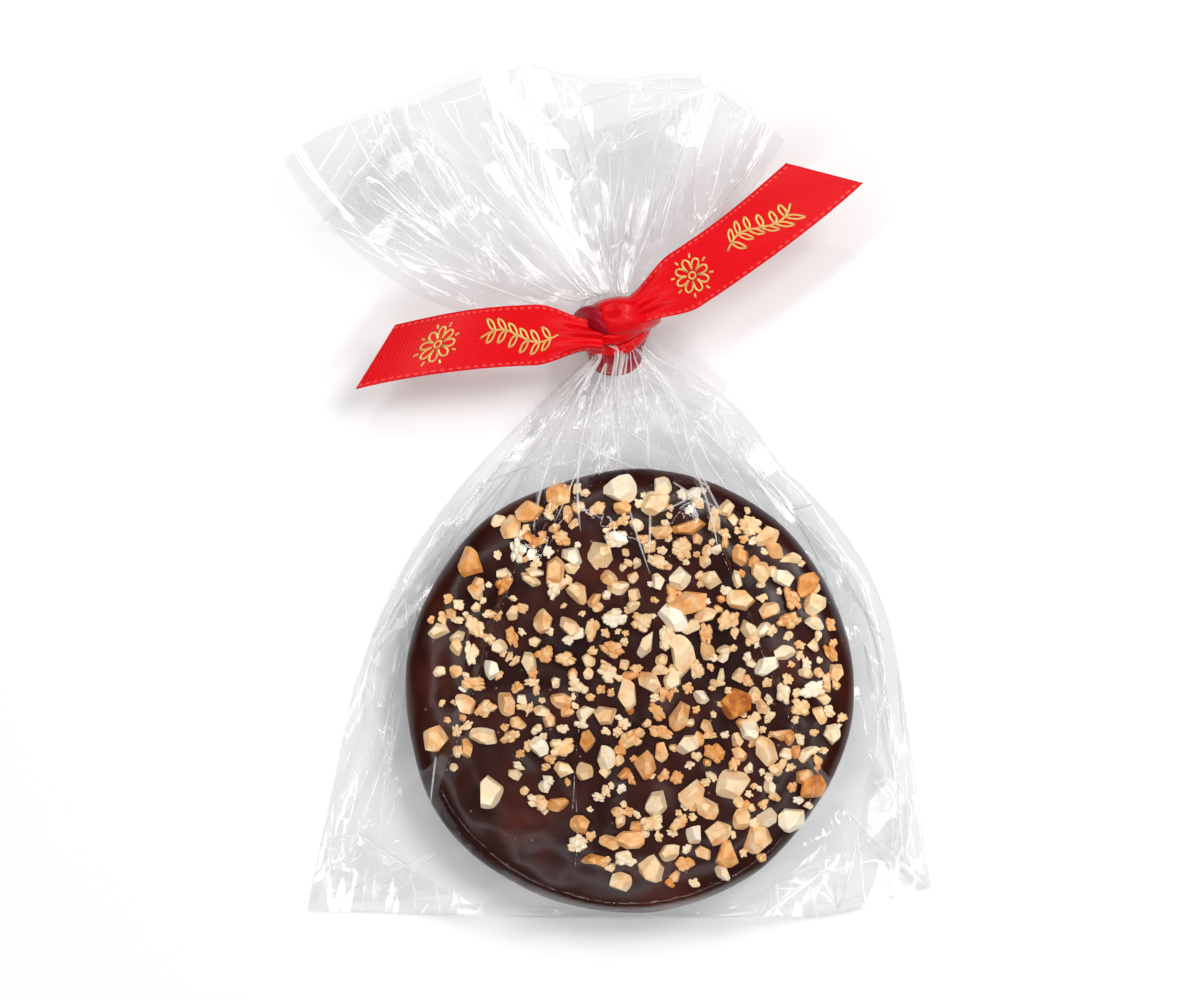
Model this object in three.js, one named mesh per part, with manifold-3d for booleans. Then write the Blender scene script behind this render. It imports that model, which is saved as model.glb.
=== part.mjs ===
// A round chocolate cookie with chopped roasted nuts in a clear gift bag,
// gathered at the neck and tied with a red satin ribbon.
// Millimetres, +Z up. The bag lies on its back on z = 0; the origin is under the
// middle of the cookie, +Y runs from the cookie to the bag's mouth.
import * as THREE from "three";
import { mergeVertices } from "three/addons/utils/BufferGeometryUtils.js";
import Module from "manifold-3d";

const wasm = await Module();
wasm.setup();

// ---- sizes ----
const gap = 0.3; // air between touching pieces

const cookieRadius = 37;
const cookieHeight = 11;
const cookieBase = 0.9; // the underside of the cookie over the ground
const rimRadius = 4.2; // rounding of the upper rim
const footRadius = 2.6; // rounding of the lower rim
const discSides = 40;
const topFlat = 27; // radius of the level middle of the top
const topCrown = 0.4; // its height over the rim

const bagBottomY = -38.2;
// Each side of the flattened bag: its distance from the middle at the bottom edge
// and level with the cookie's middle, its swell between cookie and neck, and how far
// the film flares out just below the neck.
const leftSide = { foot: 54, waist: 46, bulge: 6.5, shoulder: 0 };
const rightSide = { foot: 51.5, waist: 46, bulge: 11, shoulder: 5 };
const pouchTop = 13; // the film's height over the cookie's rim
const filmEdge = 0.8; // the two films pressed together along the side folds

const neckX = -2.4;
const neckY = 59;
const neckZ = 6.6;
const neckWide = 4.7; // half sizes of the gathered bundle
const neckDeep = 4.2;
const neckLength = 14;

const mouthRadius = 42; // from the neck to the mouth's edge
const flapReach = 17.5; // extra reach of the left flap
const ruffRight = 46.5; // degrees from +X to the right edge of the ruff
const ruffLeft = 155;
const flapSweep = 40; // degrees by which the left edge curls down near the neck
const ruffLift = 12; // the front film's height at the mouth
const ruffWall = 0.7;

const ribbonWidth = 10;
const ribbonThick = 0.6;
const knotPlace = [-2.2, 60.8, 13.2];
const knotSize = [5.8, 4.2, 4.4]; // half sizes
// The two loose ends: where each leaves the knot, its direction in degrees from
// +X, how much it bends, its length, the slant of its cut and its rise and fall.
const tails = [
  { from: [-4, 58.7, 13.4], turn: 185, bend: -8, length: 38, slant: 3.7, arc: 2.4, drop: -3.4 },
  { from: [-1.2, 61.6, 14.2], turn: 35.5, bend: -7, length: 41, slant: -4.2, arc: 1.6, drop: 0.6 },
];

// ---- small helpers ----
const degrees = Math.PI / 180;
const mix = (a, b, t) => a + (b - a) * t;
const clamp = (t) => Math.min(1, Math.max(0, t));
const ease = (a, b, t) => {
  const s = clamp((t - a) / (b - a));
  return s * s * (3 - 2 * s);
};

// Moves every vertex of a geometry by a function of its position.
function reshape(geometry, move) {
  const points = geometry.attributes.position;
  const point = new THREE.Vector3();
  for (let i = 0; i < points.count; i += 1) {
    point.fromBufferAttribute(points, i);
    move(point);
    points.setXYZ(i, point.x, point.y, point.z);
  }
  return geometry;
}

function toSolid(geometry) {
  const bare = geometry.clone();
  bare.deleteAttribute("normal");
  bare.deleteAttribute("uv");
  const welded = mergeVertices(bare, 1e-4);
  return new wasm.Manifold(new wasm.Mesh({
    numProp: 3,
    vertProperties: new Float32Array(welded.attributes.position.array),
    triVerts: new Uint32Array(welded.index.array),
  }));
}

function toGeometry(solid) {
  const mesh = solid.getMesh();
  const geometry = new THREE.BufferGeometry();
  geometry.setAttribute("position", new THREE.BufferAttribute(mesh.vertProperties, 3));
  geometry.setIndex(new THREE.BufferAttribute(mesh.triVerts, 1));
  geometry.computeVertexNormals();
  return geometry;
}

// Joins a long list of solids two by two.
function joinAll(solids) {
  let row = solids;
  while (row.length > 1) {
    const next = [];
    for (let i = 0; i < row.length; i += 2) {
      next.push(i + 1 < row.length ? row[i].add(row[i + 1]) : row[i]);
    }
    row = next;
  }
  return row[0];
}

// ---- cookie ----
// The coated disc: gently uneven outline, rounded rims and a low crown.
const rimWave = (turn) => 0.35 * Math.sin(2 * turn + 0.6) + 0.25 * Math.sin(5 * turn + 2);

function discProfile(grow) {
  const top = cookieBase + cookieHeight + grow;
  const base = cookieBase - grow;
  const wide = cookieRadius + grow;
  const profile = [new THREE.Vector2(0, base)];
  for (let i = 0; i <= 3; i += 1) {
    const turn = (i / 3) * 90 * degrees;
    profile.push(new THREE.Vector2(
      wide - footRadius + footRadius * Math.sin(turn),
      base + footRadius - footRadius * Math.cos(turn),
    ));
  }
  for (let i = 0; i <= 4; i += 1) {
    const turn = (i / 4) * 90 * degrees;
    profile.push(new THREE.Vector2(
      wide - rimRadius + rimRadius * Math.cos(turn),
      top - rimRadius + rimRadius * Math.sin(turn),
    ));
  }
  profile.push(new THREE.Vector2(topFlat, top + topCrown));
  profile.push(new THREE.Vector2(0, top + topCrown));
  return profile;
}

function discSolid(grow) {
  const disc = new THREE.LatheGeometry(discProfile(grow), discSides);
  disc.rotateX(90 * degrees);
  reshape(disc, (p) => {
    const reach = Math.hypot(p.x, p.y);
    const turn = Math.atan2(p.y, p.x);
    const stretch = 1 + (rimWave(turn) * ease(20, 37, reach)) / cookieRadius;
    p.x *= stretch;
    p.y *= stretch;
  });
  return toSolid(disc);
}

// Repeatable random numbers from 0 to 1.
let seed = 7;
function draw() {
  seed = (seed * 1664525 + 1013904223) % 4294967296;
  return seed / 4294967296;
}

// The largest pieces of nut where they lie: x, y, half length, half width, turn.
const largeNuts = [
  [-31.8, -7.5, 2.4, 2.0, 20], [-23.0, -16.2, 2.9, 2.1, 80], [-18.0, 32.2, 2.6, 1.7, 30],
  [-11.3, 33.2, 2.2, 1.8, 0], [-1.3, 33.6, 2.5, 2.4, 0], [-26.7, 21.7, 2.7, 1.8, 110],
  [4.5, 31.2, 2.3, 1.8, 10], [10.0, 27.2, 2.6, 1.3, 10], [10.3, 15.0, 3.8, 1.9, 15],
  [18.7, 15.2, 2.2, 2.0, 0], [8.7, 5.8, 3.7, 1.9, 95], [17.8, -1.7, 2.4, 2.2, 40],
  [17.5, -15.0, 2.9, 2.5, 30], [22.4, -9.6, 2.4, 1.7, 120], [10.3, -16.7, 2.4, 1.8, 70],
  [31.6, -16.2, 2.4, 2.0, 60], [27.6, -21.4, 2.1, 2.0, 0], [21.3, -24.2, 2.4, 2.1, 20],
  [16.2, -26.6, 2.1, 2.0, 0], [0.3, -24.2, 2.6, 1.4, 10], [-1.5, -31.3, 1.9, 1.5, 0],
  [30.2, 18.4, 2.2, 1.5, 50], [23.4, 26.6, 2.3, 1.6, 40], [34.4, 3.2, 1.6, 1.4, 90],
];

// How much of the coating the nuts hide: thick towards the upper right, thin at
// the left rim and bare in the lower left and along the bottom.
function nutCover(x, y) {
  const bare = Math.hypot(x + 22, y + 30) / 24;
  const rim = ease(37, 30, Math.hypot(x - 1.5, y - 1.5));
  const lower = ease(-34, -22, y + 0.25 * x);
  const left = mix(0.45, 1, ease(-32, -12, x + 0.4 * y));
  return clamp(bare - 0.35) * rim * lower * left;
}

// Fills in the rest by a seeded draw: each piece keeps clear of those before it.
function scatterNuts(count) {
  const nuts = largeNuts.map(([x, y, long, wide, turn]) => ({ x, y, long, wide, turn }));
  for (let tries = 0; tries < 9000 && nuts.length < count; tries += 1) {
    const x = mix(-36, 36, draw());
    const y = mix(-36, 36, draw());
    const size = mix(2.1, 1.15, tries / 9000) * mix(0.85, 1.15, draw());
    const chance = draw();
    const turn = 180 * draw();
    const slim = mix(0.6, 0.95, draw());
    const free = nuts.every((n) => Math.hypot(n.x - x, n.y - y) > 0.86 * (n.wide + size));
    if (free && chance < nutCover(x, y)) {
      nuts.push({ x, y, long: size * 1.1, wide: size * slim, turn });
    }
  }
  return nuts;
}

// A chopped piece: a low tapering chunk with four or five sides, a little tipped.
function nutSolid(nut, index) {
  const chunk = new THREE.CylinderGeometry(0.58, 1, 2, nut.long > 1.8 ? 5 : 4, 1);
  chunk.rotateX(90 * degrees);
  const high = Math.min(2.2, 0.5 * (nut.long + nut.wide));
  const edge = ease(37.5, 31, Math.hypot(nut.x, nut.y));
  const ground = cookieBase + cookieHeight + mix(-2.2, topCrown, edge);
  reshape(chunk, (p) => {
    const chip = 1 + 0.17 * Math.sin(3 * Math.atan2(p.y, p.x) + 1.7 * index);
    p.set(p.x * nut.long * chip, p.y * nut.wide * chip, high * (0.5 + 0.5 * p.z) - 0.6);
  });
  chunk.rotateX(0.22 * Math.sin(2.3 * index));
  chunk.rotateY(0.22 * Math.cos(1.1 * index));
  chunk.rotateZ(nut.turn * degrees);
  const inward = Math.min(1, (cookieRadius - 0.6 - nut.long) / Math.hypot(nut.x, nut.y));
  chunk.translate(nut.x * inward, nut.y * inward, ground);
  return toSolid(chunk);
}

// The straight well above the cookie, open to the sky.
function seatWell() {
  const well = new THREE.CylinderGeometry(1, 1, 20, discSides, 1);
  well.rotateX(90 * degrees);
  return reshape(well, (p) => {
    const turn = Math.atan2(p.y, p.x);
    const wide = (cookieRadius + gap) * (1 + rimWave(turn) / cookieRadius);
    p.set(p.x * wide, p.y * wide, p.z + cookieBase + footRadius + 10);
  });
}

const cookieSolid = joinAll([discSolid(0), ...scatterNuts(190).map(nutSolid)]);

// ---- bag ----
// Half width of the flattened bag at a height y: straight over the cookie, then
// drawn in to the neck over a swelling shoulder.
function sideX(y, side) {
  const lower = mix(side.waist, side.foot, y / bagBottomY);
  const t = clamp(y / (neckY - 4));
  const slim = mix(side.waist, neckWide, t) + side.bulge * Math.sin(Math.PI * t);
  const upper = slim + side.shoulder * ease(36, 49, y) * ease(57.5, 51, y);
  return y < 0 ? lower : upper;
}

// Distance from a point to the hull of the cookie's rim and the neck.
function coreDistance(x, y) {
  const t = clamp(y / neckY);
  const slope = (cookieRadius - 2 - neckWide) / neckY;
  const along = clamp((y + slope * Math.abs(x - neckX * t)) / neckY);
  const radius = mix(cookieRadius - 2, neckWide, along);
  return Math.max(0, Math.hypot(x - neckX * along, y - neckY * along) - radius);
}

// Creases that fan out from the neck and fade over the cookie.
function pleat(x, y) {
  const turn = Math.atan2(x - neckX, neckY + 6 - y);
  const near = ease(-6, 46, y);
  return 0.75 * near * Math.sin(turn * 26 + 1.3 * Math.sin(turn * 9));
}

function pouchSolid() {
  const sheet = new THREE.BoxGeometry(2, 1, 1, 24, 19, 1);
  reshape(sheet, (p) => {
    const u = p.x;
    const v = p.y + 0.5;
    const low = bagBottomY + 4.8 * ease(0.6, 1.05, u) + 0.9 * ease(-0.3, -1, u);
    const y = mix(low, neckY - 1, v);
    const left = sideX(y, leftSide) - neckX * clamp(y / neckY);
    const right = sideX(y, rightSide) + neckX * clamp(y / neckY);
    const x = u < 0 ? u * left : u * right;
    const wall = (cookieHeight - 2.5) * ease(34, 12, Math.abs(x)) * ease(0.04, 0, v);
    const edge = filmEdge + wall;
    const inset = Math.min(u < 0 ? x + left : right - x, (y - low) * 3);
    const core = coreDistance(x, y);
    const rise = Math.pow(inset / (inset + core + 1e-6), 0.85);
    const gather = ease(34, neckY - 4, y);
    const ridge = mix(pouchTop, neckZ + neckDeep, gather);
    const foot = mix(0, neckZ - neckDeep, ease(36, neckY - 3, y));
    const bundle = Math.sqrt(Math.max(0, 1 - u * u));
    const under = mix(foot, neckZ - neckDeep * bundle, ease(46, neckY - 3, y));
    const round = ease(46, neckY - 3, y);
    const flat = foot + edge + (ridge - foot - edge) * (v > 0 ? rise : 0);
    const upper = mix(flat, neckZ + neckDeep * bundle + 0.05, round);
    p.x = x;
    p.y = y;
    p.z = p.z > 0 ? upper + pleat(x, y) * clamp(inset / 8) * (1 - round) : under;
  });
  return toSolid(sheet);
}

function neckSolid() {
  const bundle = new THREE.CylinderGeometry(1, 1, neckLength, 24, 1);
  reshape(bundle, (p) => {
    const rib = 1 + 0.05 * Math.sin(6 * Math.atan2(p.z, p.x));
    p.set(neckX + p.x * neckWide * rib, neckY + 1.5 + p.y, neckZ + p.z * neckDeep * rib);
  });
  return toSolid(bundle);
}

// The fanned mouth above the knot: two films joined along both sides, drawn out
// from the neck to a wavy edge. inner > 0 gives the open pocket between them.
function ruffSolid(inner) {
  const sheet = new THREE.BoxGeometry(2, 1, 1, 26, inner ? 3 : 6, 1);
  reshape(sheet, (p) => {
    const u = p.x * (1 - 0.05 * inner);
    const v = inner ? mix(0.3, 1.12, p.y + 0.5) : p.y + 0.5;
    const side = (1 - u) / 2; // 0 at the right edge, 1 at the left
    const turn = mix(ruffRight, ruffLeft, side) + flapSweep * (1 - v) * side ** 2
      - 14 * (1 - v) * (1 - side) ** 2;
    const wave = 1.5 * Math.sin(5 * Math.PI * (side - 0.1));
    const reach = (mouthRadius + flapReach * clamp((side - 0.52) / 0.48) + wave) * v;
    const fanX = neckX + 0.4 + reach * Math.cos(turn * degrees);
    const fanY = neckY + 3 + reach * Math.sin(turn * degrees);
    const spread = ease(0.02, 0.22, v);
    const fold = Math.sqrt(Math.max(0, 1 - u * u));
    const crease = 1.1 * ease(0.1, 0.6, v) * Math.sin(side * 34 + 0.7) * fold;
    const open = fold * mix(neckDeep, ruffLift / 2, ease(0, 0.9, v));
    const middle = mix(neckZ, 1.6 + ruffLift / 2, ease(0.1, 1, v));
    const thin = filmEdge / 2 + open - inner * ruffWall;
    p.x = mix(neckX + neckWide * u, fanX, spread);
    p.y = mix(neckY + 5, fanY, spread);
    p.z = middle + (p.z > 0 ? thin + crease : -thin + 0.6 * crease * ease(0.3, 0, 1 - v));
    p.z = Math.max(p.z, 0.2 + inner * ruffWall);
  });
  return toSolid(sheet);
}

// ---- ribbon ----
// One turn of the ribbon round the neck, leaning by a few degrees.
function bandSolid(lean, grow) {
  const slack = gap - grow;
  const layer = ribbonThick + 2 * grow;
  const ring = new THREE.Shape();
  const wide = neckWide * 1.05 + slack;
  const deep = neckDeep * 1.05 + slack;
  ring.absellipse(0, 0, wide + layer, deep + layer, 0, 2 * Math.PI);
  const hole = new THREE.Path();
  hole.absellipse(0, 0, wide, deep, 0, 2 * Math.PI);
  ring.holes.push(hole);
  const width = ribbonWidth + 2 * grow;
  const band = new THREE.ExtrudeGeometry(ring, {
    depth: width, curveSegments: 10, bevelEnabled: false,
  });
  band.translate(0, 0, -width / 2);
  band.rotateX(90 * degrees);
  band.rotateZ(lean * degrees);
  band.translate(neckX, neckY, neckZ);
  return toSolid(band);
}

// The knot is a flattened lump with the ribbon's last turn folded over it.
function knotSolid(grow) {
  const lump = new THREE.SphereGeometry(1, 12, 8);
  reshape(lump, (p) => {
    const turn = Math.atan2(p.y, p.x);
    const pinch = 1 + 0.1 * Math.cos(3 * turn + 1) + 0.06 * Math.sin(6 * p.y);
    p.set(p.x * pinch, p.y * pinch, p.z);
    p.multiply(new THREE.Vector3(...knotSize.map((half) => half + grow)));
    p.add(new THREE.Vector3(...knotPlace));
  });
  return toSolid(lump);
}

// A tail is a strip that leaves the knot pinched, opens to its full width and
// ends in a slanting cut.
function tailSolid(tail, grow) {
  const strip = new THREE.BoxGeometry(1, 1, 1, 10, 2, 1);
  reshape(strip, (p) => {
    const t = p.x + 0.5;
    const side = 2 * p.y;
    const open = mix(0.5, 1, ease(0.05, 0.3, t));
    const along = tail.length * t + tail.slant * side * ease(0.4, 1, t);
    const across = side * (ribbonWidth / 2 + grow) * open;
    const turn = (tail.turn + tail.bend * (1 - t)) * degrees;
    const arch = 1.6 * (1 - open) * (1 - side * side);
    const lift = tail.arc * Math.sin(Math.PI * t) + tail.drop * t + arch;
    p.set(
      tail.from[0] + along * Math.cos(turn) - across * Math.sin(turn),
      tail.from[1] + along * Math.sin(turn) + across * Math.cos(turn),
      tail.from[2] + lift + p.z * (ribbonThick + 2 * grow),
    );
  });
  return toSolid(strip);
}

function ribbonSolid(grow) {
  return joinAll([
    bandSolid(7, grow), bandSolid(-7, grow), knotSolid(grow),
    ...tails.map((tail) => tailSolid(tail, grow)),
  ]);
}

// ---- assembly ----
const seat = discSolid(gap).add(toSolid(seatWell()));
const bagSolid = joinAll([pouchSolid(), neckSolid(), ruffSolid(0)])
  .subtract(ruffSolid(1))
  .subtract(ribbonSolid(gap))
  .subtract(seat);

function part(name, solid, look) {
  const mesh = new THREE.Mesh(toGeometry(solid), new THREE.MeshStandardMaterial(look));
  mesh.name = name;
  return mesh;
}

const parcel = new THREE.Group();
parcel.add(
  part("cookie", cookieSolid, { color: "#3a211c", roughness: 0.4, metalness: 0 }),
  part("bag", bagSolid, { color: "#e9edee", roughness: 0.12, metalness: 0 }),
  part("ribbon", ribbonSolid(0), { color: "#d80d1c", roughness: 0.38, metalness: 0 }),
);

export default parcel;
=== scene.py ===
import math
import random

import bmesh
import bpy
from mathutils import Matrix, Vector, noise
from mathutils.bvhtree import BVHTree


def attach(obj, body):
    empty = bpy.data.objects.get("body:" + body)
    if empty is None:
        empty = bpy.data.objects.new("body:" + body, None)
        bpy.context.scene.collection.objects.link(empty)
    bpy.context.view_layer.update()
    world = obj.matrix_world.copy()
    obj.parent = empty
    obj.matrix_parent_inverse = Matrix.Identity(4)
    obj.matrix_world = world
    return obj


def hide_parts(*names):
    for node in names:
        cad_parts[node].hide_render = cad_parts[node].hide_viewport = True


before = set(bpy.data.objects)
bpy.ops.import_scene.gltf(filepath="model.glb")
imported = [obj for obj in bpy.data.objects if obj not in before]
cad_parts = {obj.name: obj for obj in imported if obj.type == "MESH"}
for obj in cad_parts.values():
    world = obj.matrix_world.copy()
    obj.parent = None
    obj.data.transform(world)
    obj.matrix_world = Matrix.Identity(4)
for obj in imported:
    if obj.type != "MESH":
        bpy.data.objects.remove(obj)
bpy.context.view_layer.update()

mm = 0.001  # sizes below are in millimetres, the scene is in metres


def clamp(value, low=0.0, high=1.0):
    return max(low, min(high, value))


def mix(a, b, t):
    return a + (b - a) * t


def ease(a, b, value):  # a smooth step from 0 at a to 1 at b
    t = clamp((value - a) / (b - a))
    return t * t * (3 - 2 * t)


def facet(x, y, seed):
    # a sheet of flat triangles whose corners have random heights from -1 to 1
    i, j = math.floor(x), math.floor(y)
    across, along = x - i, y - j

    def corner(a, b):
        return 2 * noise.cell(Vector((i + a + 0.5, j + b + 0.5, seed + 0.5))) - 1

    low, high = corner(0, 0), corner(1, 1)
    if across > along:
        middle = corner(1, 0)
        return low + (middle - low) * across + (high - middle) * along
    middle = corner(0, 1)
    return low + (high - middle) * across + (middle - low) * along


def foldLine(value, corners):
    # a folded line through (place, height) corners
    for (a, low), (b, high) in zip(corners, corners[1:]):
        if value <= b:
            return mix(low, high, (value - a) / (b - a))
    return corners[-1][1]


def colour(hexValue):  # an sRGB hex value as the linear colour that the shaders take
    parts = [int(hexValue[i:i + 2], 16) / 255 for i in (1, 3, 5)]
    return tuple(c / 12.92 if c <= 0.04045 else ((c + 0.055) / 1.055) ** 2.4 for c in parts) + (1,)


def addNode(tree, kind, settings=None, links=None):
    # a shader node; a link takes a socket, or a node for that node's first output
    node = tree.nodes.new("ShaderNode" + kind)
    for name, value in (settings or {}).items():
        if isinstance(name, int) or name in node.inputs.keys():
            node.inputs[name].default_value = value
        else:
            setattr(node, name, value)
    for name, source in (links or {}).items():
        socket = source.outputs[0] if isinstance(source, bpy.types.Node) else source
        tree.links.new(socket, node.inputs[name])
    return node


def newMaterial(name):
    material = bpy.data.materials.new(name)
    material.use_nodes = True
    tree = material.node_tree
    tree.nodes.clear()
    return material, tree


def setStops(ramp, stops):  # the stops of a colour ramp, as pairs of position and colour
    elements = ramp.color_ramp.elements
    while len(elements) > 1:
        elements.remove(elements[-1])
    elements[0].position, elements[0].color = stops[0]
    for position, value in stops[1:]:
        elements.new(position).color = value


def newPiece(name, bm, material, smooth=True):
    # a finished mesh object from a bmesh, on the part's one body
    mesh = bpy.data.meshes.new(name)
    bm.to_mesh(mesh)
    bm.free()
    mesh.polygons.foreach_set("use_smooth", [smooth] * len(mesh.polygons))
    piece = bpy.data.objects.new(name, mesh)
    bpy.context.scene.collection.objects.link(piece)
    mesh.materials.append(material)
    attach(piece, "root")
    return piece


def shapedGrid(columns, rows, place, bm=None):
    # a grid whose points are put in place by a function of (u, v) from 0 to 1
    bm = bm or bmesh.new()
    uvLayer = bm.loops.layers.uv.verify()
    made = bmesh.ops.create_grid(bm, x_segments=columns, y_segments=rows, size=0.5)
    flat = {vert: (vert.co.x + 0.5, vert.co.y + 0.5) for vert in made["verts"]}
    for face in {face for vert in made["verts"] for face in vert.link_faces}:
        for loop in face.loops:
            loop[uvLayer].uv = flat[loop.vert]
    for vert, (u, v) in flat.items():
        vert.co = Vector(place(u, v)) * mm
    return bm


# The ribbon's sizes, which its satin needs too
ribbon = {
    "width": 10.0,
    "thick": 0.3,
    "knot": (-2.2, 60.8, 12.2),  # middle of the lump inside the knot
    "knotHalf": (4.6, 2.5, 3.2),  # its half sizes
    # each tail: where it leaves the knot, its direction and how much of a bend it starts with
    # in degrees, length, slant of the cut, height of its arch, and its rise to the cut end
    "left": dict(start=(-4.0, 58.7, 13.4), turn=185, bend=-8,
                 length=38, slant=3.7, arc=2.4, drop=-3.4),
    "right": dict(start=(-1.2, 61.6, 14.2), turn=35.5, bend=-7,
                  length=41, slant=-4.2, arc=1.6, drop=0.6),
    "turns": {"A": 13, "B": -5},  # the two turns round the neck, and their lean in degrees
    "turnLength": 33.0,  # once round the neck
    "foldLength": 14.0,  # once across the knot
}


def makeChocolate():
    # dark couverture coating, poured and set: satin gloss, slow ripples of tone 12 mm long,
    # fine pits of 1 mm and a few pale specks
    material, tree = newMaterial("darkChocolateCoating")
    place = {"Vector": addNode(tree, "TexCoord").outputs["Object"]}
    slow = addNode(tree, "TexNoise", {"Scale": 1 / 0.012, "Detail": 3.0}, place)
    tone = addNode(tree, "ValToRGB", links={"Fac": slow})
    setStops(tone, [(0.3, colour("#1e0402")), (0.52, colour("#300b04")), (0.75, colour("#4a170a"))])
    speck = addNode(tree, "TexVoronoi", {"Scale": 1 / 0.0026, "Randomness": 1.0}, place)
    speckMask = addNode(tree, "MapRange",
                        {"From Min": 0.05, "From Max": 0.09, "To Min": 0.6, "To Max": 0.0},
                        {"Value": speck})
    base = addNode(tree, "MixRGB", {"Color2": colour("#a08070")},
                   {"Fac": speckMask, "Color1": tone})
    rough = addNode(tree, "MapRange", {"To Min": 0.2, "To Max": 0.38}, {"Value": slow})
    pits = addNode(tree, "TexNoise", {"Scale": 1 / 0.0011, "Detail": 4.0}, place)
    bump = addNode(tree, "Bump", {"Strength": 0.35, "Distance": 0.00008}, {"Height": pits})
    shader = addNode(tree, "BsdfPrincipled", {"IOR": 1.5, "Specular IOR Level": 0.3},
                     {"Base Color": base, "Roughness": rough, "Normal": bump})
    addNode(tree, "OutputMaterial", links={"Surface": shader})
    return material


def makeNut():
    # roasted, chopped nut meat: cream where it broke, golden to brown where it roasted, with
    # patches of 2 mm and a grain of 0.6 mm
    material, tree = newMaterial("roastedNut")
    place = {"Vector": addNode(tree, "TexCoord").outputs["Object"]}
    toast = addNode(tree, "Attribute", {"attribute_name": "toast"})
    patch = addNode(tree, "TexNoise", {"Scale": 1 / 0.0019, "Detail": 3.0}, place)
    shift = addNode(tree, "MapRange",
                    {"From Min": 0.25, "From Max": 0.75, "To Min": -0.22, "To Max": 0.22},
                    {"Value": patch})
    level = addNode(tree, "Math", {"operation": "ADD", "use_clamp": True},
                    {0: toast.outputs["Fac"], 1: shift})
    ramp = addNode(tree, "ValToRGB", links={"Fac": level})
    setStops(ramp, [(0.0, colour("#fff3dc")), (0.35, colour("#fddcae")), (0.62, colour("#f3b676")),
                    (0.85, colour("#e09240")), (1.0, colour("#b86426"))])
    grain = addNode(tree, "TexNoise", {"Scale": 1 / 0.0006, "Detail": 5.0}, place)
    bump = addNode(tree, "Bump", {"Strength": 0.6, "Distance": 0.00015}, {"Height": grain})
    shader = addNode(tree, "BsdfPrincipled",
                     {"Roughness": 0.5, "IOR": 1.46, "Subsurface Weight": 0.12,
                      "Subsurface Radius": (1.0, 0.6, 0.3), "Subsurface Scale": 0.0008},
                     {"Base Color": ramp, "Normal": bump})
    addNode(tree, "OutputMaterial", links={"Surface": shader})
    return material


def makeFilm(name, paintedHighlight=0.0):
    # clear cellophane about 0.03 mm thick: nearly all light goes through, its two faces
    # mirror a little head-on and much more at a glancing angle; fine creases run in
    # straight lines between flat patches, drawn where the mesh is too coarse for them;
    # the bright line along a sharp crease is a painted highlight, and the last argument
    # is the share of flat white mixed in for it
    material, tree = newMaterial(name)
    facing = addNode(tree, "LayerWeight", {"Blend": 0.5})
    glance = addNode(tree, "Math", {"operation": "POWER", 1: 4.0},
                     {0: facing.outputs["Facing"]})
    mirror = addNode(tree, "Math", {"operation": "MULTIPLY_ADD", 1: 0.8, 2: 0.045}, {0: glance})
    uv = addNode(tree, "UVMap")
    heights = []
    for turn, scale, seed in ((0.35, (15.0, 9.0, 1.0), 0.0), (-0.3, (27.0, 12.0, 1.0), 7.0)):
        place = addNode(tree, "Mapping",
                        {"Scale": scale, "Rotation": (0, 0, turn), "Location": (seed, 0, 0)},
                        {"Vector": uv})
        cells = addNode(tree, "TexVoronoi",
                        {"feature": "DISTANCE_TO_EDGE", "voronoi_dimensions": "2D", "Scale": 1.0},
                        {"Vector": place})
        heights.append(addNode(tree, "MapRange",
                               {"interpolation_type": "SMOOTHSTEP",
                                "From Max": 0.045, "To Min": 1.0, "To Max": 0.0},
                               {"Value": cells}))
    lines = addNode(tree, "Math", {"operation": "MAXIMUM"}, {0: heights[0], 1: heights[1]})
    bump = addNode(tree, "Bump", {"Strength": 0.25, "Distance": 0.00006}, {"Height": lines})
    clear = addNode(tree, "BsdfTransparent", {"Color": (0.984, 0.985, 0.987, 1)})
    gloss = addNode(tree, "BsdfGlossy", {"Roughness": 0.05}, {"Normal": bump})
    both = addNode(tree, "MixShader", links={0: mirror, 1: clear, 2: gloss})
    if paintedHighlight:
        # flat white diffuse: a painted highlight along the creases
        white = addNode(tree, "BsdfDiffuse", {"Color": colour("#fbfbfb")})
        both = addNode(tree, "MixShader", {0: paintedHighlight}, {1: both, 2: white})
    addNode(tree, "OutputMaterial", links={"Surface": both})
    return material


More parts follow.
